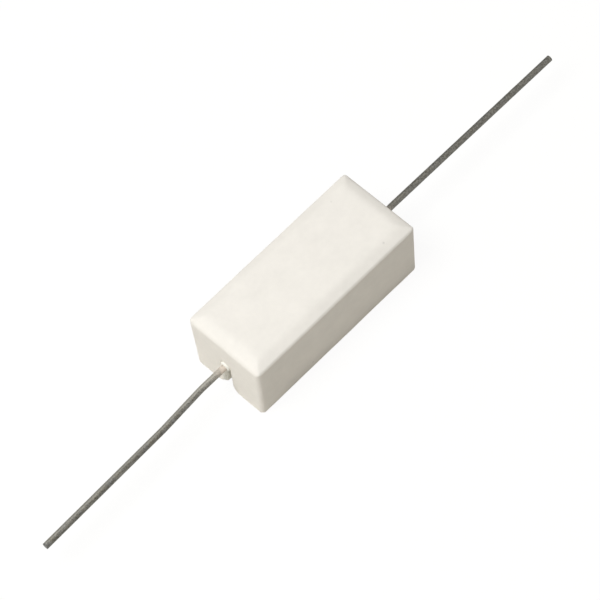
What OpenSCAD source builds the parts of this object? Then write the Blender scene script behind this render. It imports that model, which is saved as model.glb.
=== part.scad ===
// Axial power resistor: a wire winding on a ceramic core with pressed end caps and round leads,
// bedded in cement in a white ceramic trough. The trough lies with its closed side up.
// X runs along the leads, Y across the case, Z up. The rim of the open side is at Z = 0.
// All sizes are in millimetres and all angles in degrees.

/* [Case] */
// Length of the ceramic case, over the end walls
case_l = 22; // [21:0.5:26]
// Width of the case at the closed side, before its edges are rounded
case_w = 9.5; // [9:0.1:11]
// Height of the case from the rim to the closed side
case_h = 8.7; // [8.2:0.1:10]
// Width of the eased edges round the closed side
edge_w = 1.2; // [0.9:0.05:1.4]
// Depth of the eased edges round the closed side
edge_drop = 0.55; // [0.4:0.05:0.8]
// Rounding between the closed side and its eased edges
edge_ease = 2.2; // [1:0.1:2.6]
// Rounding between the eased edges and the long walls
side_edge_r = 0.35; // [0.2:0.05:0.5]
// Rounding between the eased edges and the end walls
end_edge_r = 0.7; // [0.4:0.1:0.9]
// Rounding of the four upright corners
corner_r = 0.5; // [0.3:0.1:0.9]
// Inward lean of the long walls towards the rim
side_draft = 1.5; // [0:0.1:3]
// Thickness of the long walls at the rim
side_wall = 1.3; // [1:0.1:1.6]
// Thickness of the end walls at the rim
end_wall = 1.6; // [1.2:0.1:2]
// Thickness of the closed side
roof = 1.3; // [0.9:0.1:1.6]
// Rounding inside the trough, under the roof
trough_r = 0.8; // [0.3:0.1:1.2]
// Lean of the trough's own walls, wider at the rim
trough_draft = 1.5; // [0.5:0.5:4]

/* [Notches] */
// Gap between a lead and the round end of its notch
notch_gap = 0.25; // [0.15:0.01:0.4]
// Rounding of the notch's lips at the rim
lip_r = 1; // [0.6:0.1:1.6]
// How far the notches and the element stand off the middle of the case
off_middle = 0.11; // [0:0.01:0.2]

/* [Cement] */
// Depth of the cement's surface inside the rim
fill_drop = 0.35; // [0.1:0.05:0.8]
// Depth of the cement inside the outer end of a notch
notch_drop = 0.7; // [0.4:0.05:0.9]
// Gap between the lump under a lead and the notch's walls, were it centred
lump_gap = 0.21; // [0.06:0.01:0.25]
// Length of the lump below the lead's axis
lump_depth = 2.85; // [1.6:0.05:3]
// How far the lump stands out of the end wall
lump_out = 0.3; // [0.1:0.05:0.6]
// How far the bead round a lead laps over the notch's edge
bead_lap = 0.08; // [0.02:0.02:0.2]
// How far the bead stands out of the end wall
bead_out = 0.3; // [0.15:0.05:0.5]

/* [Element] */
// Cement between the caps and the underside of the closed side
top_cover = 0.95; // [0.8:0.05:1.2]
// Cement between the caps and the end walls
end_cover = 1.75; // [1.4:0.05:2.5]
// Thickness of the caps' steel
cap_t = 0.25; // [0.2:0.05:0.35]
// Length of core that each cap covers
cap_cover = 2.6; // [2:0.1:3]
// Chamfer on the core's ends
core_ease = 0.2; // [0.1:0.05:0.4]
// Diameter of the resistance wire
wire_d = 0.25; // [0.2:0.01:0.3]
// Turns of wire between the caps
turns = 13; // [8:1:14]
// Gap that the cement keeps round the winding
wire_gap = 0.05; // [0.02:0.01:0.1]
// Length of each cap that the wire's end takes up
wire_on_cap = 1.4; // [1.2:0.1:1.8]
// Lead of the wire's last turn, on the cap
end_pitch = 0.62; // [0.5:0.02:0.8]

/* [Leads] */
// Diameter of the leads
lead_d = 0.7; // [0.6:0.05:0.8]
// Length of a lead outside the case
lead_free = 25; // [22:0.5:38]
// Radius of the leads' slight bends
bend_r = 12; // [6:1:20]
// Straight length of the left lead outside the case, before its first bend
left_start = 3; // [1:0.5:6]
// Straight length of the left lead between its bends
left_middle = 4.9; // [2:0.1:8]
// Straight length of the right lead inside the case, before its first bend
right_start = 0.8; // [0.5:0.1:1]
// Straight length of the right lead between its bends
right_middle = 3.3; // [2:0.1:6]
// Diameter of the upset end that is welded to the cap
weld_d = 1.5; // [1.1:0.1:1.8]
// Thickness of the upset end
weld_t = 0.35; // [0.2:0.05:0.5]

/* [Hidden] */
$fn = 96;
eps = 0.01;
over = 1;
// Half sizes of the case at the rim and at the closed side
top_x = case_l / 2;
top_y = case_w / 2;
rim_y = top_y - case_h * tan(side_draft);
// Half sizes of the trough at the rim and under the roof
trough_h = case_h - roof;
bay_x = top_x - end_wall;
bay_y = rim_y - side_wall;
bay_top_x = bay_x - trough_h * tan(trough_draft);
bay_top_y = bay_y - trough_h * tan(trough_draft);
// Element, on an axis at half the case's height
axis_z = case_h / 2;
cap_r = trough_h - axis_z - top_cover;
core_r = cap_r - cap_t;
cap_len = cap_cover + cap_t;
cap_end = bay_top_x - end_cover;
core_end = cap_end - cap_t;
cap_rim = core_end - cap_cover;
wire_r = wire_d / 2;
wire_low = core_r + wire_r + 0.004;
wire_high = cap_r + wire_r + 0.004;
// Leads
lead_r = lead_d / 2;
notch_r = lead_r + notch_gap;
// Depth of the bead below the lead's axis
bead_low = 0.5 * notch_r;
lead_tip = top_x + lead_free;
left_first = top_x + left_start - cap_end;
// The turn of each bend, to the left of the way the lead runs
left_turn = 3.5;
left_back = -2.25;
right_turn = 3.2;
right_back = -3.6;
// A shade more than tangent, so that a cut starts cleanly
bite = 0.003;

function unit(v) = v / norm(v);

// Moves what belongs to the element and the notches off the middle of the case
module off() {
    translate([0, off_middle, 0]) children();
}

// Waste at a corner of an outline, outside a circle that touches both sides.
// The corner lies between the points before and after it, counterclockwise.
module round_waste(before, corner, after, r) {
    u = unit(before - corner);
    v = unit(after - corner);
    middle = unit(u + v);
    half = acos(u * v) / 2;
    run = r / tan(half);
    centre = corner + middle * r / sin(half);
    difference() {
        polygon([centre, corner + u * run, corner + u * run + [-u.y, u.x] * r, corner - middle * 2 * r,
                 corner + v * run + [v.y, -v.x] * r, corner + v * run]);
        translate(centre - middle * bite) circle(r = r);
    }
}

// Outline of the case across a wall pair: upright or leaning walls and eased upper edges
module case_outline(half_low, half_high, edge_r) {
    shoulder = [half_high - edge_drop * (half_high - half_low) / case_h, case_h - edge_drop];
    crown = [half_high - edge_w, case_h];
    difference() {
        polygon([[-half_low, 0], [half_low, 0], shoulder, crown, [-crown.x, crown.y],
                 [-shoulder.x, shoulder.y]]);
        for (side = [0, 1])
            mirror([side, 0]) {
                round_waste([half_low, 0], shoulder, crown, edge_r);
                round_waste(shoulder, crown, [-crown.x, crown.y], edge_ease);
            }
    }
}

module case_block() {
    intersection() {
        rotate([90, 0, 90])
            translate([0, 0, -case_l]) linear_extrude(height = 2 * case_l)
                case_outline(rim_y, top_y, side_edge_r);
        rotate([90, 0, 0])
            translate([0, 0, -case_w]) linear_extrude(height = 2 * case_w)
                case_outline(top_x, top_x, end_edge_r);
    }
}

// Section of a leaning wall pair with its upper edges rounded, centred on the upright axis
module block_section(half_low, half_high, high, r) {
    lean = (half_high - half_low) / high;
    slope = sqrt(1 + lean * lean);
    cz = high - r + bite;
    cy = half_low + lean * cz - r * slope + bite;
    difference() {
        polygon([[-half_low, 0], [half_low, 0], [half_high, high], [-half_high, high]]);
        for (side = [-1, 1])
            difference() {
                translate([side * (cy + over), cz + over])
                    square([2 * over + eps, 2 * over + eps], center = true);
                translate([side * cy, cz]) circle(r = r);
                translate([side * (cy + over + 2 * r), cz - r])
                    square([2 * over, 2 * r], center = true);
            }
    }
}

// Solid between two leaning wall pairs: one pair across X, one across Y
module leaning_block(low_x, high_x, low_y, high_y, high, r) {
    intersection() {
        rotate([90, 0, 90])
            translate([0, 0, -case_l])
                linear_extrude(height = 2 * case_l) block_section(low_y, high_y, high, r);
        rotate([90, 0, 0])
            translate([0, 0, -case_w])
                linear_extrude(height = 2 * case_w) block_section(low_x, high_x, high, r);
    }
}

// Waste at one upright corner, outside a leaning cylinder
module corner_waste(sx, sy) {
    lean = sy * (top_y - rim_y);
    run = sqrt(lean * lean + case_h * case_h);
    inset = corner_r - bite;
    translate([sx * (top_x - inset), sy * (rim_y - inset), 0])
        rotate([-asin(lean / run), 0, 0])
            difference() {
                translate([sx > 0 ? 0 : -2 * corner_r, sy > 0 ? 0 : -2 * corner_r, -over])
                    cube([2 * corner_r, 2 * corner_r, run + 2 * over]);
                translate([0, 0, -2 * over]) cylinder(r = corner_r, h = run + 4 * over);
            }
}

// Outline of a notch in an end wall, from past the rim up to its round end
module notch_outline() {
    translate([0, axis_z]) circle(r = notch_r);
    translate([-notch_r, -over]) square([2 * notch_r, axis_z + over]);
    difference() {
        translate([-notch_r - lip_r, -over]) square([2 * (notch_r + lip_r), lip_r + over]);
        for (side = [-1, 1]) {
            translate([side * (notch_r + lip_r), lip_r]) circle(r = lip_r);
            translate([side * (notch_r + 1.5 * lip_r), -over / 2])
                square([lip_r, over + eps], center = true);
        }
    }
}

// Runs an outline drawn across the case along X, from x0 to x1
module along_x(x0, x1) {
    translate([x0, 0, 0]) rotate([90, 0, 90]) linear_extrude(height = x1 - x0) children();
}

module trough() {
    leaning_block(bay_x, bay_top_x, bay_y, bay_top_y, trough_h, trough_r);
}

// The trough carried on below the rim, so that the rim is cut through
module trough_mouth() {
    translate([-bay_x, -bay_y, -over]) cube([2 * bay_x, 2 * bay_y, over + eps]);
}

module ceramic_case() {
    color([0.94, 0.93, 0.9])
        difference() {
            case_block();
            for (sx = [-1, 1])
                for (sy = [-1, 1])
                    corner_waste(sx, sy);
            trough();
            trough_mouth();
            for (side = [-1, 1])
                off()
                    along_x(side > 0 ? bay_top_x - over : -top_x - over,
                            side > 0 ? top_x + over : -bay_top_x + over)
                        notch_outline();
        }
}

// Cement in a notch: it fills the width down to a round underside
module notch_plug() {
    low = axis_z - lump_depth + notch_r;
    translate([0, axis_z]) circle(r = notch_r);
    translate([-notch_r, low]) square([2 * notch_r, axis_z - low]);
    translate([0, low]) circle(r = notch_r);
}

// Cement that fills the round end of a notch and stands out round the lead as a low bead
module bead() {
    r = notch_r + bead_lap;
    dome = (r * r + bead_out * bead_out) / (2 * bead_out);
    along_x(bay_x, top_x)
        intersection() {
            translate([0, axis_z]) circle(r = notch_r);
            translate([-notch_r - over, axis_z - bead_low])
                square([2 * (notch_r + over), notch_r + bead_low + over]);
        }
    intersection() {
        translate([top_x + bead_out - dome, 0, axis_z]) sphere(r = dome);
        translate([top_x, -2 * r, axis_z - bead_low]) cube([2 * bead_out, 4 * r, 2 * r + bead_low]);
    }
}

// Lump of cement under the lead, standing out of the notch with a rounded nose
module lump() {
    r = notch_r - lump_gap;
    low = axis_z - lump_depth + r;
    nose = top_x + lump_out - r;
    start = bay_x;
    translate([0, 0.7 * lump_gap, 0]) {
        translate([start, 0, axis_z]) rotate([0, 90, 0]) cylinder(r = r, h = nose - start);
        translate([nose, 0, axis_z]) sphere(r = r);
        translate([start, 0, low]) rotate([0, 90, 0]) cylinder(r = r, h = nose - start);
        translate([nose, 0, low]) sphere(r = r);
        translate([nose, 0, low]) cylinder(r = r, h = axis_z - low);
        translate([start, -r, low]) cube([nose - start, 2 * r, axis_z - low]);
    }
}

// Room that the element takes in the cement
module element_room() {
    off() {
        translate([-cap_end, 0, axis_z]) rotate([0, 90, 0]) cylinder(r = cap_r, h = 2 * cap_end);
        translate([-cap_rim, 0, axis_z]) rotate([0, 90, 0])
            cylinder(r = core_r + wire_d + wire_gap, h = 2 * cap_rim);
        for (side = [-1, 1])
            translate([side * cap_rim - wire_on_cap, 0, axis_z]) rotate([0, 90, 0])
                cylinder(r = cap_r + wire_d + wire_gap, h = 2 * wire_on_cap);
    }
    left_lead_shape();
    right_lead_shape();
}

module cement_fill() {
    color([0.86, 0.83, 0.78])
        difference() {
            union() {
                difference() {
                    trough();
                    translate([-case_l, -case_w, -over])
                        cube([2 * case_l, 2 * case_w, over + fill_drop]);
                }
                for (turn = [0, 1])
                    off() mirror([turn, 0, 0]) {
                        along_x(bay_top_x - 1, top_x - notch_drop) notch_plug();
                        bead();
                        lump();
                    }
            }
            element_room();
        }
}

module ceramic_core() {
    plain = core_end - core_ease;
    color([0.9, 0.88, 0.84])
        translate([0, off_middle, axis_z]) rotate([0, 90, 0])
            rotate_extrude()
                polygon([[0, -core_end], [core_r - core_ease, -core_end], [core_r, -plain],
                         [core_r, plain], [core_r - core_ease, core_end], [0, core_end]]);
}

// One cap at +X: a cup with a rounded outer edge, its mouth towards the middle
module cap() {
    edge = cap_t;
    translate([cap_rim, 0, axis_z]) rotate([0, 90, 0])
        difference() {
            rotate_extrude() difference() {
                square([cap_r, cap_len]);
                difference() {
                    translate([cap_r - edge + bite, cap_len - edge + bite]) square([edge, edge]);
                    translate([cap_r - edge + bite, cap_len - edge + bite]) circle(r = edge);
                }
            }
            translate([0, 0, -over]) cylinder(r = core_r, h = cap_cover + over);
        }
}

module left_end_cap() {
    color([0.62, 0.62, 0.6]) off() mirror([1, 0, 0]) cap();
}

module right_end_cap() {
    color([0.62, 0.62, 0.6]) off() cap();
}

// Slight bend to the left of the way the wire runs, starting at the origin along +X
module left_bend(turn) {
    translate([0, bend_r, 0]) rotate([0, 0, -90])
        rotate_extrude(angle = turn) translate([bend_r, 0]) circle(r = lead_r);
}

module bend(turn) {
    if (turn >= 0) left_bend(turn);
    else mirror([0, 1, 0]) left_bend(-turn);
}

// Place and heading after a bend
module after_bend(turn) {
    way = turn >= 0 ? 1 : -1;
    translate([bend_r * sin(abs(turn)), way * bend_r * (1 - cos(turn)), 0])
        rotate([0, 0, turn]) children();
}

module straight(run) {
    rotate([0, 90, 0]) cylinder(r = lead_r, h = run);
}

// Joins a straight run to a bend
module knuckle() {
    sphere(r = lead_r + 2 * bite);
}

// A lead along +X from its cap: upset end, two slight bends and a straight last run
module lead(first, turn, second, back, last) {
    translate([cap_end, 0, axis_z]) {
        rotate([0, 90, 0]) cylinder(r1 = weld_d / 2, r2 = lead_r + 0.05, h = weld_t);
        straight(first);
        translate([first, 0, 0]) {
            knuckle();
            bend(turn);
            after_bend(turn) {
                knuckle();
                straight(second);
                translate([second, 0, 0]) {
                    knuckle();
                    bend(back);
                    after_bend(back) {
                        knuckle();
                        straight(last);
                    }
                }
            }
        }
    }
}

// Length of the last run that brings a lead's tip to the stated distance from the middle
function last_run(first, turn, second, back) =
    (lead_tip - cap_end - first - bend_r * sin(abs(turn)) - second * cos(turn)
     - bend_r * abs(sin(turn + back) - sin(turn))) / cos(turn + back);

module left_lead_shape() {
    off() rotate([0, 0, 180])
        lead(left_first, left_turn, left_middle, left_back,
             last_run(left_first, left_turn, left_middle, left_back));
}

module right_lead_shape() {
    off()
        lead(right_start, right_turn, right_middle, right_back,
             last_run(right_start, right_turn, right_middle, right_back));
}

module left_lead() {
    color([0.45, 0.44, 0.41]) left_lead_shape();
}

module right_lead() {
    color([0.45, 0.44, 0.41]) right_lead_shape();
}

// The winding: its middle line as points, swept by a small polygon
steps = 22;
sides = 7;
onto_cap = 0.75;
climb = 0.5;
coil_x = cap_rim - wire_d;
pitch = 2 * coil_x / turns;
all_turns = turns + 2 * (onto_cap + climb);
count = round(all_turns * steps);

function ease(t) = t <= 0 ? 0 : t >= 1 ? 1 : t * t * (3 - 2 * t);
// Turns run from the middle of the winding, so that both ends are alike
function turn_at(i) = (i / count - 0.5) * all_turns;
function rise(u) = ease((abs(u) - turns / 2 + 0.25) / climb);
function coil_r(u) = wire_low + (wire_high - wire_low) * rise(u);
function coil_px(u) = let (a = min(abs(u), turns / 2), b = abs(u) - a)
    sign(u) * (a * pitch + b * end_pitch);
function coil_point(i) = let (u = turn_at(i), r = coil_r(u), t = 360 * u)
    [coil_px(u), r * cos(t), r * sin(t)];
function heading(i) = i <= 0 ? unit(coil_point(1) - coil_point(0))
    : i >= count ? unit(coil_point(count) - coil_point(count - 1))
    : unit(coil_point(i + 1) - coil_point(i - 1));
function out_way(i) = let (t = 360 * turn_at(i), h = heading(i), n = [0, cos(t), sin(t)])
    unit(n - h * (n * h));
function ring(i) = let (p = coil_point(i), n = out_way(i), b = cross(heading(i), n))
    [for (k = [0 : sides - 1]) p + wire_r * (n * cos(360 * (k + 0.5) / sides) + b * sin(360 * (k + 0.5) / sides))];

module resistance_wire() {
    points = [for (i = [0 : count]) each ring(i)];
    walls = [for (i = [0 : count - 1]) for (k = [0 : sides - 1])
        let (a = i * sides + k, b = i * sides + (k + 1) % sides)
        each [[a, a + sides, b + sides], [a, b + sides, b]]];
    start = [for (k = [0 : sides - 1]) k];
    end = [for (k = [sides - 1 : -1 : 0]) count * sides + k];
    color([0.55, 0.5, 0.45])
        translate([0, off_middle, axis_z])
            polyhedron(points = points, faces = concat(walls, [start], [end]));
}

ceramic_case();
cement_fill();
ceramic_core();
resistance_wire();
left_end_cap();
right_end_cap();
left_lead();
right_lead();
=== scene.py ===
"""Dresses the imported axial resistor: a ceramic case full of cement, its element and its wire leads."""

import math

import bpy
from bpy.props import FloatProperty, FloatVectorProperty, IntProperty, PointerProperty
from mathutils import Matrix, Vector


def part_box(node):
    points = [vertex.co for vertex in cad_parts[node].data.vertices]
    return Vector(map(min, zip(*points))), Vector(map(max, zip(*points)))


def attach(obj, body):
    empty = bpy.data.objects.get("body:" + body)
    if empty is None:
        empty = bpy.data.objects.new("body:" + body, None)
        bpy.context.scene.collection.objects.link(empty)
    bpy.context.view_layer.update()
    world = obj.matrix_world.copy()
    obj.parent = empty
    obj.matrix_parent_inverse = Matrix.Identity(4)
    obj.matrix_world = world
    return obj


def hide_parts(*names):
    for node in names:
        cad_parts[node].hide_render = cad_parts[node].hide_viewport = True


bl_info = {
    "name": "Cement Resistor",
    "version": (1, 0, 0),
    "blender": (4, 5, 0),
    "location": "View3D > Sidebar > Resistor",
    "description": "Builds a ceramic-cased wirewound resistor round its packed frame",
    "category": "Add Mesh",
}

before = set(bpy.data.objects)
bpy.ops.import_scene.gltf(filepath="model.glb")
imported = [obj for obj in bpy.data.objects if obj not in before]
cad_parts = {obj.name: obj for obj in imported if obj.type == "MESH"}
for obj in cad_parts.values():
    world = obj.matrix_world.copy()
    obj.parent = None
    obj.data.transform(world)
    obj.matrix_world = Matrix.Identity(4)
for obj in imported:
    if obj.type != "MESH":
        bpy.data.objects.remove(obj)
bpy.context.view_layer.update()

MM = 0.001
CASE_LOW, CASE_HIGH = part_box("ceramic_case")
CASE_HEIGHT = CASE_HIGH.z - CASE_LOW.z
CASE_END = CASE_HIGH.x
AXIS_Z = CASE_HEIGHT / 2
AXIS_Y = (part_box("ceramic_core")[0].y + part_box("ceramic_core")[1].y) / 2
LEFT_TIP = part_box("left_lead")[0]
RIGHT_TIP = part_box("right_lead")[1]
CAP_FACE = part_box("right_end_cap")[1].x
CAP_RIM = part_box("right_end_cap")[0].x
CAP_RADIUS = (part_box("right_end_cap")[1].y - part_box("right_end_cap")[0].y) / 2
CORE_RADIUS = (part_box("ceramic_core")[1].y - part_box("ceramic_core")[0].y) / 2

# Straight runs of the leads from their caps, each with the slight bend after it in degrees
LEFT_RUNS = [(CASE_END + 3 * MM - CAP_FACE, 3.5), (4.9 * MM, -2.25)]
RIGHT_RUNS = [(0.8 * MM, 3.2), (3.3 * MM, -3.6)]

# Camera fitted to the photograph: place in metres, turn in degrees, focal length in millimetres
CAMERA_PLACE = (-0.096335, -0.118803, 0.279844)
CAMERA_TURN = (28.66169, 4.02421, -46.13797)
CAMERA_LENS = 193.602


# Settings


class CaseSettings(bpy.types.PropertyGroup):
    colour: FloatVectorProperty(
        name="Colour", description="Fired ceramic", subtype="COLOR", size=3, default=(0.865, 0.83, 0.765)
    )
    grid: FloatProperty(
        name="Grid", description="Size of the skin's faces", default=0.135 * MM, unit="LENGTH"
    )
    softening: IntProperty(name="Softening", description="Rounds of edge softening", default=3)
    unevenness: FloatProperty(
        name="Unevenness", description="Depth of the skin's slow waves", default=0.03 * MM, unit="LENGTH"
    )
    wave: FloatProperty(name="Wave", description="Size of the slow waves", default=5 * MM, unit="LENGTH")
    grain_depth: FloatProperty(
        name="Grain depth", description="Depth of the quick waves", default=0.006 * MM, unit="LENGTH"
    )
    grain_size: FloatProperty(
        name="Grain size", description="Size of the quick waves", default=0.7 * MM, unit="LENGTH"
    )


class CementSettings(bpy.types.PropertyGroup):
    colour: FloatVectorProperty(
        name="Colour", description="Set cement", subtype="COLOR", size=3, default=(0.845, 0.83, 0.76)
    )
    grid: FloatProperty(
        name="Grid", description="Size of the cement's faces", default=0.12 * MM, unit="LENGTH"
    )
    softening: IntProperty(name="Softening", description="Rounds of edge softening", default=2)
    roughness: FloatProperty(
        name="Roughness", description="Depth of the cement's lumps", default=0.06 * MM, unit="LENGTH"
    )
    lump: FloatProperty(name="Lump", description="Size of the lumps", default=0.9 * MM, unit="LENGTH")
    sand_depth: FloatProperty(
        name="Sand depth", description="Depth of the sandy grain", default=0.03 * MM, unit="LENGTH"
    )
    sand_size: FloatProperty(
        name="Sand size", description="Size of the sandy grain", default=0.3 * MM, unit="LENGTH"
    )


class LeadSettings(bpy.types.PropertyGroup):
    colour: FloatVectorProperty(
        name="Colour",
        description="Dull tinned wire",
        subtype="COLOR",
        size=3,
        default=(0.124, 0.121, 0.107),
    )
    dull_share: FloatProperty(
        name="Dull share", description="Brightness of the far lead beside the near one", default=0.7
    )
    # Also the tone of the painted highlight line and of the painted reflection on the leads
    bare_and_painted_light: FloatVectorProperty(
        name="Bare colour",
        description="Where the wire is worn",
        subtype="COLOR",
        size=3,
        default=(0.215, 0.207, 0.182),
    )
    smear: FloatVectorProperty(
        name="Smear", description="Cement on the wire", subtype="COLOR", size=3, default=(0.66, 0.58, 0.5)
    )
    smear_length: FloatProperty(
        name="Smear length", description="Reach of the smear from the case", default=1.9 * MM, unit="LENGTH"
    )
    dust_length: FloatProperty(
        name="Dust length", description="Reach of the cement dust", default=5.5 * MM, unit="LENGTH"
    )
    worn_length: FloatProperty(
        name="Worn length", description="Reach of the worn stretch", default=11 * MM, unit="LENGTH"
    )
    diameter: FloatProperty(
        name="Diameter", description="Wire diameter", default=0.7 * MM, unit="LENGTH"
    )
    weld: FloatProperty(
        name="Weld", description="Diameter of the upset end", default=1.5 * MM, unit="LENGTH"
    )
    weld_length: FloatProperty(
        name="Weld length", description="Length of the upset end", default=0.35 * MM, unit="LENGTH"
    )
    dent_share: FloatProperty(
        name="Dent share", description="Depth of the dents as a share of the radius", default=0.06
    )
    dent_size: FloatProperty(
        name="Dent size", description="Size of the dents", default=1.6 * MM, unit="LENGTH"
    )
    bend_radius: FloatProperty(
        name="Bend radius", description="Radius of the slight bends", default=12 * MM, unit="LENGTH"
    )
    step: FloatProperty(
        name="Step", description="Length of one swept piece", default=0.15 * MM, unit="LENGTH"
    )


class ElementSettings(bpy.types.PropertyGroup):
    wire: FloatProperty(
        name="Wire", description="Resistance wire diameter", default=0.25 * MM, unit="LENGTH"
    )
    turns: IntProperty(name="Turns", description="Turns between the caps", default=13)
    end_pitch: FloatProperty(
        name="End pitch",
        description="Pitch of the last turns, on the caps",
        default=0.62 * MM,
        unit="LENGTH",
    )
    seat: FloatProperty(
        name="Seat",
        description="Ease between the wire and what it lies on",
        default=0.004 * MM,
        unit="LENGTH",
    )
    points: IntProperty(name="Points", description="Points along the winding", default=560)
    colour: FloatVectorProperty(
        name="Colour", description="Resistance wire", subtype="COLOR", size=3, default=(0.3, 0.26, 0.22)
    )
    cap_colour: FloatVectorProperty(
        name="Cap colour", description="Pressed steel", subtype="COLOR", size=3, default=(0.48, 0.48, 0.455)
    )
    core_colour: FloatVectorProperty(
        name="Core colour", description="Fired core", subtype="COLOR", size=3, default=(0.74, 0.71, 0.64)
    )


class StageSettings(bpy.types.PropertyGroup):
    floor: FloatProperty(name="Floor", description="Width of the floor", default=1.2, unit="LENGTH")
    floor_colour: FloatVectorProperty(
        name="Floor colour",
        description="Tone of the light that the floor throws back",
        subtype="COLOR",
        size=3,
        default=(0.69, 0.665, 0.61),
    )
    lamp_size: FloatProperty(
        name="Lamp size", description="Width of each lamp", default=0.16, unit="LENGTH"
    )
    key: FloatProperty(name="Key light", description="Strength of the main lamp", default=0.82)
    low: FloatProperty(
        name="Low light", description="Strength of the lamp low at the near end", default=0.085
    )
    rim: FloatProperty(
        name="Rim light", description="Strength of the lamp behind the far end", default=0.095
    )
    fill: FloatProperty(name="Fill light", description="Strength of the surroundings", default=0.295)
    fill_colour: FloatVectorProperty(
        name="Fill colour",
        description="Tone of the surroundings",
        subtype="COLOR",
        size=3,
        default=(1.0, 0.974, 0.941),
    )
    shadow: FloatProperty(
        name="Shadow", description="Share of the shadow that the floor shows", default=0.12
    )


SETTINGS = {
    "resistor_case": CaseSettings,
    "resistor_cement": CementSettings,
    "resistor_leads": LeadSettings,
    "resistor_element": ElementSettings,
    "resistor_stage": StageSettings,
}


# Node helpers


class Nodes:
    """Adds nodes to a tree from left to right and joins them by name."""

    spacing = 180

    def __init__(self, tree):
        self.tree = tree
        self.count = 0

    def add(self, kind, inputs=None, **settings):
        """A new node with its settings, each input joined to a socket or set to a value."""
        node = self.tree.nodes.new(kind)
        node.location = (self.spacing * self.count, 0)
        self.count += 1
        for key, value in settings.items():
            setattr(node, key, value)
        for key, value in (inputs or {}).items():
            if isinstance(value, bpy.types.NodeSocket):
                self.tree.links.new(value, node.inputs[key])
            else:
                node.inputs[key].default_value = value
        return node

    def math(self, operation, a, b=0.0):
        """The result of one sum on values or sockets."""
        return self.add("ShaderNodeMath", {0: a, 1: b}, operation=operation).outputs[0]

    def noise(self, vector, scale, detail, **more):
        """Noise from 0 to 1, blotches as large as 1 divided by the scale."""
        inputs = {"Vector": vector, "Scale": scale, "Detail": detail, **more}
        dimensions = "4D" if "W" in more else "3D"
        return self.add("ShaderNodeTexNoise", inputs, noise_dimensions=dimensions).outputs[0]

    def span(self, value, low, high, start, end, smooth=False):
        """Carries a value over from low..high to start..end and holds it at both ends."""
        # Inputs 1 to 4 are the node's From Min, From Max, To Min and To Max
        return self.add(
            "ShaderNodeMapRange",
            {"Value": value, 1: low, 2: high, 3: start, 4: end},
            interpolation_type="SMOOTHSTEP" if smooth else "LINEAR",
        ).outputs[0]

    def link(self, a, b):
        self.tree.links.new(a, b)


def new_group(name, kind, inputs, outputs):
    """An empty node group, its nodes, the sockets that it takes in and those that it gives out.
    Each input is (name, socket type, default) and each output is (name, socket type)."""
    tree = bpy.data.node_groups.new(name, kind)
    for label, socket, default in inputs:
        made = tree.interface.new_socket(label, in_out="INPUT", socket_type=socket)
        if default is not None:
            made.default_value = default
    for label, socket in outputs:
        tree.interface.new_socket(label, in_out="OUTPUT", socket_type=socket)
    nodes = Nodes(tree)
    return tree, nodes, nodes.add("NodeGroupInput").outputs, nodes.add("NodeGroupOutput").inputs


FLOAT = "NodeSocketFloat"
VECTOR = "NodeSocketVector"
GEOMETRY = "NodeSocketGeometry"


def mottle_group():
    """Soft blotches of two sizes, as a mask from 0 to 1."""
    tree, n, o, out = new_group(
        "Mottle",
        "ShaderNodeTree",
        [("Vector", VECTOR, None), ("Scale", FLOAT, 800.0), ("Contrast", FLOAT, 1.5)],
        [("Mask", FLOAT)],
    )
    wide = n.noise(o["Vector"], o["Scale"], 3.0)
    fine = n.noise(o["Vector"], n.math("MULTIPLY", o["Scale"], 4.3), 4.0)
    both = n.math("ADD", n.math("MULTIPLY", wide, 0.65), n.math("MULTIPLY", fine, 0.35))
    centred = n.math("SUBTRACT", both, 0.5)
    spread = n.math("MULTIPLY", centred, o["Contrast"])
    shifted = n.add("ShaderNodeMath", {0: spread, 1: 0.5}, operation="ADD", use_clamp=True)
    n.link(shifted.outputs[0], out["Mask"])
    return tree


def grain_group():
    """Fine grain and small pits, as a height and a mask of the pits."""
    tree, n, o, out = new_group(
        "Grain",
        "ShaderNodeTree",
        [
            ("Vector", VECTOR, None),
            ("Grain scale", FLOAT, 6000.0),
            ("Pit scale", FLOAT, 1200.0),
            ("Pit depth", FLOAT, 0.5),
            ("Pit size", FLOAT, 0.12),
        ],
        [("Height", FLOAT), ("Pits", FLOAT)],
    )
    grain = n.noise(o["Vector"], o["Grain scale"], 5.0, Roughness=0.65)
    cells = n.add("ShaderNodeTexVoronoi", {"Vector": o["Vector"], "Scale": o["Pit scale"]})
    pit = n.span(cells.outputs["Distance"], 0.0, o["Pit size"], 1.0, 0.0, smooth=True)
    chance = n.add("ShaderNodeSeparateColor", {"Color": cells.outputs["Color"]}).outputs[0]
    pits = n.math("MULTIPLY", pit, n.math("GREATER_THAN", chance, 0.72))
    depth = n.math("MULTIPLY", pits, o["Pit depth"])
    n.link(n.math("SUBTRACT", grain, depth), out["Height"])
    n.link(pits, out["Pits"])
    return tree


def scuff_group():
    """Streaks drawn out along X, as a mask from 0 to 1."""
    tree, n, o, out = new_group(
        "Scuffs",
        "ShaderNodeTree",
        [
            ("Vector", VECTOR, None),
            ("Scale", FLOAT, 5000.0),
            ("Stretch", FLOAT, 0.08),
            ("Share", FLOAT, 0.45),
        ],
        [("Mask", FLOAT)],
    )
    stretch = n.add("ShaderNodeCombineXYZ", {0: o["Stretch"], 1: 1.0, 2: 1.0}).outputs[0]
    drawn = n.add("ShaderNodeVectorMath", {0: o["Vector"], 1: stretch}, operation="MULTIPLY").outputs[0]
    streaks = n.noise(drawn, o["Scale"], 3.0, Roughness=0.6)
    mask = n.span(streaks, o["Share"], n.math("ADD", o["Share"], 0.2), 0.0, 1.0)
    n.link(mask, out["Mask"])
    return tree


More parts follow.
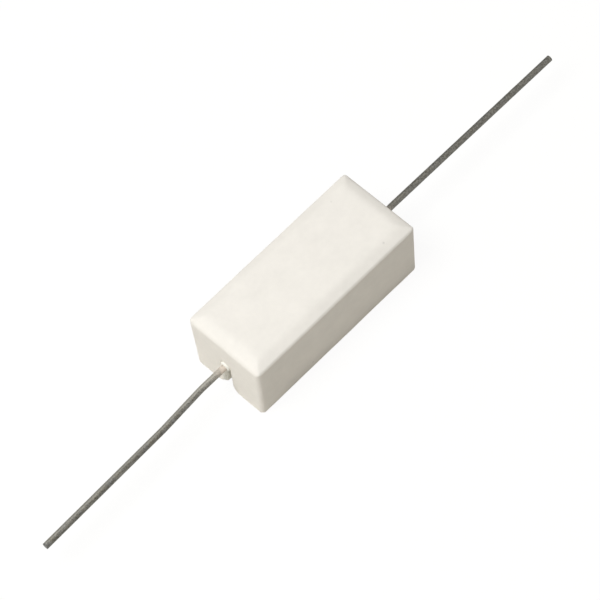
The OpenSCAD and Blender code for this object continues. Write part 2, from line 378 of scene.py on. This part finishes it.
def reach_group():
    """A mask along a lead, 1 at the end wall of the case and 0 at a ragged edge further out."""
    tree, n, o, out = new_group(
        "Reach",
        "ShaderNodeTree",
        [
            ("Vector", VECTOR, None),
            ("Start", FLOAT, 0.011),
            ("Length", FLOAT, 0.0015),
            ("Raggedness", FLOAT, 0.5),
            ("Scale", FLOAT, 3000.0),
        ],
        [("Mask", FLOAT)],
    )
    away = n.math("ABSOLUTE", n.add("ShaderNodeSeparateXYZ", {"Vector": o["Vector"]}).outputs[0])
    gone = n.math("DIVIDE", n.math("SUBTRACT", away, o["Start"]), o["Length"])
    patches = n.math("SUBTRACT", n.noise(o["Vector"], o["Scale"], 3.0), 0.5)
    ragged = n.math("ADD", gone, n.math("MULTIPLY", patches, o["Raggedness"]))
    n.link(n.span(ragged, 0.0, 1.0, 1.0, 0.0, smooth=True), out["Mask"])
    return tree


BUILDERS = {"Mottle": mottle_group, "Grain": grain_group, "Scuffs": scuff_group, "Reach": reach_group}
GROUPS = {}


def group(name):
    """The shared shader group of that name, built once."""
    if name not in GROUPS:
        GROUPS[name] = BUILDERS[name]()
    return GROUPS[name]


def new_material(name, colour, roughness, metallic=0.0, specular=0.5):
    """A material with its Principled shader and the coordinates that its patterns read."""
    material = bpy.data.materials.new(name)
    material.use_nodes = True
    material.diffuse_color = (*colour, 1.0)
    tree = material.node_tree
    tree.nodes.clear()
    n = Nodes(tree)
    place = n.add("ShaderNodeTexCoord").outputs["Object"]
    shader = n.add(
        "ShaderNodeBsdfPrincipled",
        {
            "Base Color": (*colour, 1.0),
            "Roughness": roughness,
            "Metallic": metallic,
            "Specular IOR Level": specular,
        },
    )
    n.link(shader.outputs[0], n.add("ShaderNodeOutputMaterial").inputs["Surface"])
    return material, n, place, shader


def use_group(n, name, place, inputs):
    """The outputs of a shared shader group at the place that its patterns read."""
    return n.add("ShaderNodeGroup", {"Vector": place, **inputs}, node_tree=group(name)).outputs


def blend_colours(n, mask, low, high):
    """Mixes two colours by a mask; each may be a socket or three numbers."""
    # Inputs 6 and 7 and output 2 are the node's colour sockets
    mix = n.add("ShaderNodeMix", data_type="RGBA")
    n.link(mask, mix.inputs["Factor"])
    for index, value in ((6, low), (7, high)):
        if isinstance(value, bpy.types.NodeSocket):
            n.link(value, mix.inputs[index])
        else:
            mix.inputs[index].default_value = (*value, 1.0)
    return mix.outputs[2]


def shade(colour, factor):
    """The colour made darker or lighter, held at white."""
    return tuple(min(1.0, c * factor) for c in colour)


def add_bump(n, shader, height, strength, depth):
    """Bumps the shader's normal by a height, as deep as stated."""
    bump = n.add("ShaderNodeBump", {"Height": height, "Strength": strength, "Distance": depth})
    n.link(bump.outputs[0], shader.inputs["Normal"])


# Materials


def ceramic_material(name, colour):
    """Fired white ceramic: matt, with faint blotches, fine grain and a few pinholes."""
    material, n, place, shader = new_material(name, colour, 0.8, specular=0.25)
    mottle = use_group(n, "Mottle", place, {"Scale": 420.0, "Contrast": 2.2})["Mask"]
    grain = use_group(n, "Grain", place, {"Grain scale": 5200.0, "Pit scale": 520.0, "Pit size": 0.1})
    body = blend_colours(n, mottle, shade(colour, 0.955), shade(colour, 1.035))
    body = blend_colours(n, n.math("MULTIPLY", grain["Pits"], 0.5), body, shade(colour, 0.6))
    n.link(body, shader.inputs["Base Color"])
    n.link(n.span(mottle, 0.0, 1.0, 0.74, 0.86), shader.inputs["Roughness"])
    add_bump(n, shader, grain["Height"], 0.55, 0.012 * MM)
    return material


def cement_material(colour):
    """Set cement: sandy, with pale and dark grains and open pores."""
    material, n, place, shader = new_material("Cement", colour, 0.9, specular=0.25)
    mottle = use_group(n, "Mottle", place, {"Scale": 1100.0, "Contrast": 2.6})["Mask"]
    pores = {"Grain scale": 7000.0, "Pit scale": 2600.0, "Pit size": 0.3, "Pit depth": 1.2}
    grain = use_group(n, "Grain", place, pores)
    body = blend_colours(n, mottle, shade(colour, 0.87), shade(colour, 1.1))
    body = blend_colours(n, n.math("MULTIPLY", grain["Pits"], 0.5), body, shade(colour, 0.5))
    n.link(body, shader.inputs["Base Color"])
    add_bump(n, shader, grain["Height"], 0.9, 0.05 * MM)
    return material


def reach_mask(n, place, length, raggedness, scale):
    """Mask of the stretch of a lead that starts at the case and is as long as stated."""
    values = {"Start": CASE_END, "Length": length, "Raggedness": raggedness, "Scale": scale}
    return use_group(n, "Reach", place, values)["Mask"]


def tarnish(n, place, colour, mottle):
    """Dull tin in patches of olive and slate, darker in blotches."""
    olive = (colour[0] * 1.16, colour[1] * 1.04, colour[2] * 0.76)
    slate = (colour[0] * 0.88, colour[1] * 0.96, colour[2] * 1.16)
    tint = use_group(n, "Mottle", place, {"Scale": 1300.0, "Contrast": 3.0})["Mask"]
    body = blend_colours(n, tint, olive, slate)
    return blend_colours(n, n.math("MULTIPLY", mottle, 0.5), body, shade(colour, 0.66))


def painted_highlight_line(n, facing, mottle, worn, wear_and_painted_light):
    """Mask of a painted highlight: a light line along the side that the wire's stored facing names."""
    ragged = n.math("MULTIPLY", n.math("SUBTRACT", mottle, 0.5), 0.1)
    wide = n.math("MULTIPLY", worn, 0.06)
    line = n.span(n.math("ADD", facing, n.math("ADD", ragged, wide)), 0.86, 0.96, 0.0, 1.0, smooth=True)
    return n.math("MULTIPLY", line, n.math("ADD", n.math("MULTIPLY", worn, 0.45), 0.5 * wear_and_painted_light))


def lead_material(name, colour, s, wear_and_painted_light):
    """Dull tinned copper: dark and speckled, barer near the case and finely scratched, with a painted
    highlight line along one side.
    Cement smears and dusts the wire where it leaves the case. On the less worn lead one flank is painted
    lighter as a painted reflection.
    Wear runs from 0 to 1 and also sets how strong these painted lights are, and the leads' settings give
    the other colours and the lengths."""
    material, n, place, shader = new_material(name, colour, 0.5, metallic=1.0)
    mottle = use_group(n, "Mottle", place, {"Scale": 900.0, "Contrast": 2.4})["Mask"]
    specks = use_group(n, "Mottle", place, {"Scale": 5600.0, "Contrast": 3.6})["Mask"]
    scuffs = use_group(n, "Scuffs", place, {"Scale": 5200.0, "Stretch": 0.1, "Share": 0.5})["Mask"]
    worn = n.math("MULTIPLY", reach_mask(n, place, s.worn_length, 0.5, 700.0), wear_and_painted_light)
    smeared = reach_mask(n, place, s.smear_length, 1.3, 2400.0)
    dust = n.math("MULTIPLY", reach_mask(n, place, s.dust_length, 1.0, 3200.0), 0.28 * wear_and_painted_light)
    facing = n.add("ShaderNodeAttribute", attribute_name="facing").outputs["Fac"]
    # Painted reflection: on the less worn lead, the side that faces the given way is painted lighter,
    # towards the worn-wire tone
    painted_reflection = n.span(facing, 0.2, 1.0, 0.0, 0.45 * (1.0 - wear_and_painted_light))

    body = blend_colours(n, painted_reflection, tarnish(n, place, colour, mottle), s.bare_and_painted_light)
    body = blend_colours(n, n.math("MULTIPLY", worn, 0.75), body, s.bare_and_painted_light)
    dots = blend_colours(n, specks, shade(colour, 0.2), shade(s.bare_and_painted_light, 1.6))
    dotted = n.math("ADD", n.math("MULTIPLY", worn, 0.33), 0.4)
    body = blend_colours(n, dotted, body, dots)
    scratched = n.math("MULTIPLY", scuffs, 0.12 + 0.2 * wear_and_painted_light)
    # A painted highlight line joined with real fine scratches, both in a lighter worn-wire tone
    bright = n.math("MAXIMUM", painted_highlight_line(n, facing, mottle, worn, wear_and_painted_light), scratched)
    body = blend_colours(n, bright, body, shade(s.bare_and_painted_light, 1.5))
    body = blend_colours(n, dust, body, shade(s.bare_and_painted_light, 2.6))
    body = blend_colours(n, smeared, body, s.smear)
    n.link(body, shader.inputs["Base Color"])

    coat = n.math("MAXIMUM", smeared, dust)
    n.link(n.math("SUBTRACT", 1.0, coat), shader.inputs["Metallic"])
    n.link(n.span(coat, 0.0, 1.0, 0.5, 0.9), shader.inputs["Roughness"])
    add_bump(n, shader, n.math("ADD", mottle, n.math("MULTIPLY", specks, 0.5)), 0.5, 0.02 * MM)
    return material


def metal_material(name, colour, roughness, stretch=0.3):
    """Plain drawn or pressed metal with fine working marks."""
    material, n, place, shader = new_material(name, colour, roughness, metallic=1.0)
    marks = use_group(n, "Scuffs", place, {"Scale": 6000.0, "Stretch": stretch, "Share": 0.4})["Mask"]
    body = blend_colours(n, marks, shade(colour, 0.88), shade(colour, 1.1))
    n.link(body, shader.inputs["Base Color"])
    add_bump(n, shader, marks, 0.3, 0.01 * MM)
    return material


# Mesh helpers


def show(obj):
    """Puts the object into the scene."""
    bpy.context.scene.collection.objects.link(obj)
    return obj


def clean_copy(node):
    """A copy of a CAD node's mesh in millimetres, with its doubles merged."""
    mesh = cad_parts[node].data.copy()
    mesh.transform(Matrix.Scale(1 / MM, 4))
    obj = show(bpy.data.objects.new(node + "_copy", mesh))
    merge = obj.modifiers.new("Merge", "WELD")
    merge.merge_threshold = 0.0005
    return obj


def finished_mesh(obj, name, scale=1.0):
    """The object's evaluated shape as a new plain piece; the worked object goes."""
    depsgraph = bpy.context.evaluated_depsgraph_get()
    mesh = bpy.data.meshes.new_from_object(obj.evaluated_get(depsgraph))
    mesh.name = name
    if scale != 1.0:
        mesh.transform(Matrix.Scale(scale, 4))
    piece = show(bpy.data.objects.new(name, mesh))
    bpy.data.objects.remove(obj)
    mesh.polygons.foreach_set("use_smooth", [True] * len(mesh.polygons))
    return piece


def pushed(n, geometry, push):
    """The geometry with each point moved along its normal."""
    normal = n.add("GeometryNodeInputNormal").outputs[0]
    offset = n.add("ShaderNodeVectorMath", {0: normal, "Scale": push}, operation="SCALE").outputs[0]
    return n.add("GeometryNodeSetPosition", {"Geometry": geometry, "Offset": offset}).outputs[0]


def finish_tree(n, geometry, material, out):
    """Ends a tree that makes a piece: smooth shading, real geometry and the material."""
    smooth = n.add("GeometryNodeSetShadeSmooth", {"Geometry": geometry})
    real = n.add("GeometryNodeRealizeInstances", {"Geometry": smooth.outputs[0]})
    done = n.add("GeometryNodeSetMaterial", {"Geometry": real.outputs[0], "Material": material})
    n.link(done.outputs[0], out["Geometry"])


def skin_group():
    """Geometry nodes that push a skin in and out along its normals by slow and quick noise."""
    tree, n, o, out = new_group(
        "Uneven skin",
        "GeometryNodeTree",
        [
            ("Geometry", GEOMETRY, None),
            ("Depth", FLOAT, 0.03),
            ("Size", FLOAT, 4.0),
            ("Fine depth", FLOAT, 0.004),
            ("Fine size", FLOAT, 0.8),
            ("Seed", FLOAT, 1.0),
            ("Material", "NodeSocketMaterial", None),
        ],
        [("Geometry", GEOMETRY)],
    )
    where = n.add("GeometryNodeInputPosition").outputs[0]

    def wave(size, depth):
        noise = n.noise(where, n.math("DIVIDE", 1.0, size), 2.0, W=o["Seed"])
        return n.math("MULTIPLY", n.math("SUBTRACT", noise, 0.5), n.math("MULTIPLY", depth, 2.0))

    push = n.math("ADD", wave(o["Size"], o["Depth"]), wave(o["Fine size"], o["Fine depth"]))
    finish_tree(n, pushed(n, o["Geometry"], push), o["Material"], out)
    return tree


TREES = {}


def use_tree(obj, name, build, values):
    """Adds a geometry nodes modifier and sets its inputs by their sockets' identifiers."""
    if name not in TREES:
        TREES[name] = build()
    modifier = obj.modifiers.new(name, "NODES")
    modifier.node_group = TREES[name]
    sockets = {
        item.name: item.identifier
        for item in TREES[name].interface.items_tree
        if item.item_type == "SOCKET" and item.in_out == "INPUT"
    }
    for key, value in values.items():
        modifier[sockets[key]] = value


def remesh(obj, voxel, softening):
    """Gives the object an even skin and softens its edges."""
    even = obj.modifiers.new("Even skin", "REMESH")
    even.mode = "VOXEL"
    even.voxel_size = voxel
    even.use_smooth_shade = True
    soft = obj.modifiers.new("Soft edges", "SMOOTH")
    soft.factor = 0.5
    soft.iterations = softening


# Pieces


class RESISTOR_OT_case(bpy.types.Operator):
    """Makes the ceramic case from the frame's own shape, with soft edges and a slightly uneven skin"""

    bl_idname = "resistor.case"
    bl_label = "Ceramic case"

    def execute(self, context):
        s = context.scene.resistor_case
        case = clean_copy("ceramic_case")
        remesh(case, s.grid / MM, s.softening)
        use_tree(
            case,
            "Uneven skin",
            skin_group,
            {
                "Depth": s.unevenness / MM,
                "Size": s.wave / MM,
                "Fine depth": s.grain_depth / MM,
                "Fine size": s.grain_size / MM,
                "Seed": 3.0,
                "Material": ceramic_material("White ceramic", s.colour),
            },
        )
        piece = finished_mesh(case, "case_shell", MM)
        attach(piece, "root")
        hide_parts("ceramic_case")
        return {"FINISHED"}


class RESISTOR_OT_cement(bpy.types.Operator):
    """Makes the cement fill, with its bead and lump at each lead, and roughens its skin"""

    bl_idname = "resistor.cement"
    bl_label = "Cement fill"

    def execute(self, context):
        s = context.scene.resistor_cement
        cement = clean_copy("cement_fill")
        remesh(cement, s.grid / MM, s.softening)
        use_tree(
            cement,
            "Uneven skin",
            skin_group,
            {
                "Depth": s.roughness / MM,
                "Size": s.lump / MM,
                "Fine depth": s.sand_depth / MM,
                "Fine size": s.sand_size / MM,
                "Seed": 1.0,
                "Material": cement_material(s.colour),
            },
        )
        piece = finished_mesh(cement, "cement_mass", MM)
        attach(piece, "root")
        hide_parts("cement_fill")
        return {"FINISHED"}


def wire_group():
    """Geometry nodes that sweep a slightly uneven round wire along a path, from its upset end.
    How far each point faces the way of the painted light is stored for the material, which paints a
    highlight or a reflection there."""
    tree, n, o, out = new_group(
        "Drawn wire",
        "GeometryNodeTree",
        [
            ("Path", GEOMETRY, None),
            ("Radius", FLOAT, 0.00035),
            ("End radius", FLOAT, 0.00075),
            ("End length", FLOAT, 0.00035),
            ("Painted light way", VECTOR, None),
            ("Step", FLOAT, 0.00015),
            ("Unevenness", FLOAT, 0.02),
            ("Dent size", FLOAT, 0.001),
            ("Seed", FLOAT, 1.0),
            ("Material", "NodeSocketMaterial", None),
        ],
        [("Geometry", GEOMETRY)],
    )
    even = n.add("GeometryNodeResampleCurve", {"Curve": o["Path"], "Length": o["Step"]}, mode="LENGTH")
    run = n.add("GeometryNodeSplineParameter").outputs["Length"]
    widening = n.math("DIVIDE", o["End radius"], o["Radius"])
    ring = n.add("GeometryNodeCurvePrimitiveCircle", {"Resolution": 24, "Radius": o["Radius"]})
    swept = n.add(
        "GeometryNodeCurveToMesh",
        {
            "Curve": even.outputs[0],
            "Profile Curve": ring.outputs[0],
            "Scale": n.span(run, 0.0, o["End length"], widening, 1.0),
            "Fill Caps": True,
        },
    )
    side = n.add("GeometryNodeInputNormal").outputs[0]
    facing = n.add("ShaderNodeVectorMath", {0: side, 1: o["Painted light way"]}, operation="DOT_PRODUCT")
    marked = n.add(
        "GeometryNodeStoreNamedAttribute",
        {"Geometry": swept.outputs[0], "Name": "facing", "Value": facing.outputs["Value"]},
        data_type="FLOAT",
        domain="POINT",
    )
    where = n.add("GeometryNodeInputPosition").outputs[0]
    noise = n.noise(where, n.math("DIVIDE", 1.0, o["Dent size"]), 3.0, W=o["Seed"])
    depth = n.math("MULTIPLY", o["Radius"], n.math("MULTIPLY", o["Unevenness"], -1.0))
    dented = pushed(n, marked.outputs[0], n.math("MULTIPLY", noise, depth))
    finish_tree(n, dented, o["Material"], out)
    return tree


def bent_path(start, runs, end_x, radius, side):
    """Points of a lead: straight runs and slight bends in a level plane, to the tip at end_x.
    Each run is (length, turn after it in degrees), to the left of the way the lead runs."""
    steps = 6
    x, y, heading = start, 0.0, 0.0
    points = [(x, y)]
    for length, turn in runs:
        x += length * math.cos(heading)
        y += length * math.sin(heading)
        points.append((x, y))
        d = math.radians(turn) / steps
        arc = radius * abs(d)
        for _ in range(steps):
            x += arc * math.cos(heading + d / 2)
            y += arc * math.sin(heading + d / 2)
            heading += d
            points.append((x, y))
    last = (end_x - x) / math.cos(heading)
    points.append((x + last * math.cos(heading), y + last * math.sin(heading)))
    return [Vector((side * px, AXIS_Y + side * py, AXIS_Z)) for px, py in points]


def path_object(name, points):
    """A curve object through the points."""
    curve = bpy.data.curves.new(name, "CURVE")
    curve.dimensions = "3D"
    spline = curve.splines.new("POLY")
    spline.points.add(len(points) - 1)
    for point, place in zip(spline.points, points):
        point.co = (*place, 1.0)
    return show(bpy.data.objects.new(name, curve))


class RESISTOR_OT_leads(bpy.types.Operator):
    """Makes the two wire leads, slightly bent in handling, with plain cut ends"""

    bl_idname = "resistor.leads"
    bl_label = "Wire leads"

    def execute(self, context):
        s = context.scene.resistor_leads
        worn = lead_material("Worn wire", s.colour, s, 1.0)
        dull = lead_material("Dull wire", shade(s.colour, s.dull_share), s, 0.1)
        # The last value of each row is the way of the lead's painted light: a painted highlight line on the
        # near lead, a painted reflection on one flank of the far one
        for name, node, runs, tip, side, seed, material, painted_light_way in (
            ("left_lead_wire", "left_lead", LEFT_RUNS, -LEFT_TIP.x, -1, 1.0, worn, (0.0, 0.34, 0.94)),
            ("right_lead_wire", "right_lead", RIGHT_RUNS, RIGHT_TIP.x, 1, 5.0, dull, (0.0, -0.87, 0.5)),
        ):
            path = path_object(name + "_path", bent_path(CAP_FACE, runs, tip, s.bend_radius, side))
            use_tree(
                path,
                "Drawn wire",
                wire_group,
                {
                    "Radius": s.diameter / 2,
                    "End radius": s.weld / 2,
                    "End length": s.weld_length,
                    "Painted light way": painted_light_way,
                    "Step": s.step,
                    "Unevenness": s.dent_share,
                    "Dent size": s.dent_size,
                    "Seed": seed,
                    "Material": material,
                },
            )
            piece = finished_mesh(path, name)
            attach(piece, "root")
            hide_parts(node)
        return {"FINISHED"}


def winding_group():
    """Geometry nodes that lay a wire in a helix on the core and up onto the caps."""
    tree, n, o, out = new_group(
        "Winding",
        "GeometryNodeTree",
        [
            ("Geometry", GEOMETRY, None),
            ("Turns", FLOAT, 13.0),
            ("Turns on caps", FLOAT, 1.25),
            ("Half length", FLOAT, 0.004),
            ("End pitch", FLOAT, 0.0006),
            ("Low radius", FLOAT, 0.002),
            ("High radius", FLOAT, 0.0023),
            ("Wire radius", FLOAT, 0.000125),
            ("Axis side", FLOAT, 0.0),
            ("Axis height", FLOAT, 0.0044),
            ("Points", "NodeSocketInt", 400),
            ("Material", "NodeSocketMaterial", None),
        ],
        [("Geometry", GEOMETRY)],
    )
    line = n.add("GeometryNodeMeshLine", {"Count": o["Points"]}, count_mode="TOTAL")
    curve = n.add("GeometryNodeMeshToCurve", {"Mesh": line.outputs[0]})
    along = n.add("GeometryNodeSplineParameter").outputs["Factor"]
    total = n.math("ADD", o["Turns"], n.math("MULTIPLY", o["Turns on caps"], 2.0))
    turn = n.math("MULTIPLY", n.math("SUBTRACT", along, 0.5), total)
    away = n.math("ABSOLUTE", turn)
    half = n.math("MULTIPLY", o["Turns"], 0.5)
    inner = n.math("MINIMUM", away, half)
    outer = n.math("SUBTRACT", away, inner)
    pitch = n.math("DIVIDE", o["Half length"], half)
    reach = n.math("ADD", n.math("MULTIPLY", inner, pitch), n.math("MULTIPLY", outer, o["End pitch"]))
    x = n.math("MULTIPLY", n.math("SIGN", turn), reach)
    # The wire climbs onto the cap over half a turn
    past = n.math("SUBTRACT", away, half)
    climb = n.span(past, -0.25, 0.25, o["Low radius"], o["High radius"], smooth=True)
    angle = n.math("MULTIPLY", turn, 2 * math.pi)
    y = n.math("ADD", n.math("MULTIPLY", climb, n.math("COSINE", angle)), o["Axis side"])
    z = n.math("ADD", n.math("MULTIPLY", climb, n.math("SINE", angle)), o["Axis height"])
    place = n.add("ShaderNodeCombineXYZ", {0: x, 1: y, 2: z})
    bent = n.add("GeometryNodeSetPosition", {"Geometry": curve.outputs[0], "Position": place.outputs[0]})
    ring = n.add("GeometryNodeCurvePrimitiveCircle", {"Resolution": 10, "Radius": o["Wire radius"]})
    swept = n.add(
        "GeometryNodeCurveToMesh",
        {"Curve": bent.outputs[0], "Profile Curve": ring.outputs[0], "Fill Caps": True},
    )
    finish_tree(n, swept.outputs[0], o["Material"], out)
    return tree


class RESISTOR_OT_element(bpy.types.Operator):
    """Winds the resistance wire on the core and finishes the core and its pressed caps"""

    bl_idname = "resistor.element"
    bl_label = "Resistance element"

    def execute(self, context):
        s = context.scene.resistor_element
        radius = s.wire / 2
        holder = show(bpy.data.objects.new("winding_seed", bpy.data.meshes.new("winding_seed")))
        use_tree(
            holder,
            "Winding",
            winding_group,
            {
                "Turns": float(s.turns),
                "Half length": CAP_RIM - s.wire,
                "End pitch": s.end_pitch,
                "Low radius": CORE_RADIUS + radius + s.seat,
                "High radius": CAP_RADIUS + radius + s.seat,
                "Wire radius": radius,
                "Axis side": AXIS_Y,
                "Axis height": AXIS_Z,
                "Points": s.points,
                "Material": metal_material("Resistance alloy", s.colour, 0.4),
            },
        )
        piece = finished_mesh(holder, "winding")
        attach(piece, "root")
        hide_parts("resistance_wire")
        steel = metal_material("Pressed cap steel", s.cap_colour, 0.38, 0.12)
        for node, material in (
            ("ceramic_core", ceramic_material("Core ceramic", s.core_colour)),
            ("left_end_cap", steel),
            ("right_end_cap", steel),
        ):
            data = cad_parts[node].data
            data.materials.clear()
            data.materials.append(material)
        return {"FINISHED"}


# Stage


def background_rays(n):
    """1 for the rays that should see the background as white: camera, glossy and transmission."""
    light = n.add("ShaderNodeLightPath")
    seen = n.math("MAXIMUM", light.outputs["Is Camera Ray"], light.outputs["Is Glossy Ray"])
    return n.math("MAXIMUM", seen, light.outputs["Is Transmission Ray"])


def floor_material(colour, shadow):
    """Pale floor that the camera and reflections see as white, with a share of the shadow kept."""
    material, n, _, shader = new_material("Pale floor", colour, 0.9, specular=0.0)
    seen = background_rays(n)
    n.link(blend_colours(n, seen, colour, shade(colour, shadow)), shader.inputs["Base Color"])
    # The floor's own glow and the share of the lamps' light that it keeps make white together
    lit = 0.6 * shadow
    shader.inputs["Emission Color"].default_value = (1.0, 1.0, 1.0, 1.0)
    n.link(n.math("MULTIPLY", seen, 1.0 - lit), shader.inputs["Emission Strength"])
    return material


def area_lamp(name, place, aim, size, power, colour=(1.0, 1.0, 1.0)):
    """A round lamp that faces the point that it lights."""
    lamp = bpy.data.lights.new(name, "AREA")
    lamp.shape = "DISK"
    lamp.size = size
    lamp.energy = power
    lamp.color = colour
    obj = show(bpy.data.objects.new(name, lamp))
    obj.location = place
    obj.rotation_euler = (Vector(aim) - Vector(place)).to_track_quat("-Z", "Y").to_euler()


class RESISTOR_OT_stage(bpy.types.Operator):
    """Sets the pale floor, the soft lamps and the camera at the photograph's viewing angle"""

    bl_idname = "resistor.stage"
    bl_label = "Stage"

    def execute(self, context):
        s = context.scene.resistor_stage
        half = s.floor / 2
        mesh = bpy.data.meshes.new("floor")
        corners = [(-half, -half, 0), (half, -half, 0), (half, half, 0), (-half, half, 0)]
        mesh.from_pydata(corners, [], [(0, 1, 2, 3)])
        mesh.materials.append(floor_material(s.floor_colour, s.shadow))
        show(bpy.data.objects.new("floor", mesh))
        middle = (0, 0, CASE_HEIGHT / 2)
        area_lamp("key_lamp", (-0.13, 0.03, 0.3), middle, s.lamp_size, s.key, (0.97, 0.985, 1.0))
        area_lamp("low_lamp", (-0.3, -0.02, 0.1), middle, s.lamp_size, s.low)
        area_lamp("rim_lamp", (0.3, 0.05, 0.14), middle, s.lamp_size, s.rim)
        world = bpy.data.worlds.new("Pale surroundings")
        world.use_nodes = True
        background = world.node_tree.nodes["Background"]
        n = Nodes(world.node_tree)
        seen = background_rays(n)
        n.link(blend_colours(n, seen, s.fill_colour, (1.0, 1.0, 1.0)), background.inputs["Color"])
        white = n.math("MULTIPLY", seen, 1.0 - s.fill)
        n.link(n.math("ADD", white, s.fill), background.inputs["Strength"])
        context.scene.world = world
        context.scene.view_settings.view_transform = "Standard"
        lens = bpy.data.cameras.new("camera")
        lens.lens = CAMERA_LENS
        lens.clip_start = 0.01
        lens.clip_end = 10.0
        camera = show(bpy.data.objects.new("camera", lens))
        camera.location = CAMERA_PLACE
        camera.rotation_euler = tuple(math.radians(a) for a in CAMERA_TURN)
        context.scene.camera = camera
        return {"FINISHED"}


# Panel and registration


class RESISTOR_PT_panel(bpy.types.Panel):
    """Lists the resistor's pieces and their settings"""

    bl_label = "Cement resistor"
    bl_idname = "RESISTOR_PT_panel"
    bl_space_type = "VIEW_3D"
    bl_region_type = "UI"
    bl_category = "Resistor"

    def draw(self, context):
        for operator, settings in STEPS:
            box = self.layout.box()
            box.operator(operator.bl_idname)
            values = getattr(context.scene, settings)
            for key in SETTINGS[settings].__annotations__:
                box.prop(values, key)


STEPS = [
    (RESISTOR_OT_stage, "resistor_stage"),
    (RESISTOR_OT_case, "resistor_case"),
    (RESISTOR_OT_cement, "resistor_cement"),
    (RESISTOR_OT_leads, "resistor_leads"),
    (RESISTOR_OT_element, "resistor_element"),
]
CLASSES = [*SETTINGS.values(), *(operator for operator, _ in STEPS), RESISTOR_PT_panel]


def register():
    for cls in CLASSES:
        bpy.utils.register_class(cls)
    for name, cls in SETTINGS.items():
        setattr(bpy.types.Scene, name, PointerProperty(type=cls))


def unregister():
    for name in SETTINGS:
        delattr(bpy.types.Scene, name)
    for cls in reversed(CLASSES):
        bpy.utils.unregister_class(cls)


def main():
    register()
    bpy.ops.resistor.stage()
    bpy.ops.resistor.case()
    bpy.ops.resistor.cement()
    bpy.ops.resistor.leads()
    bpy.ops.resistor.element()


if __name__ == "__main__":
    main()
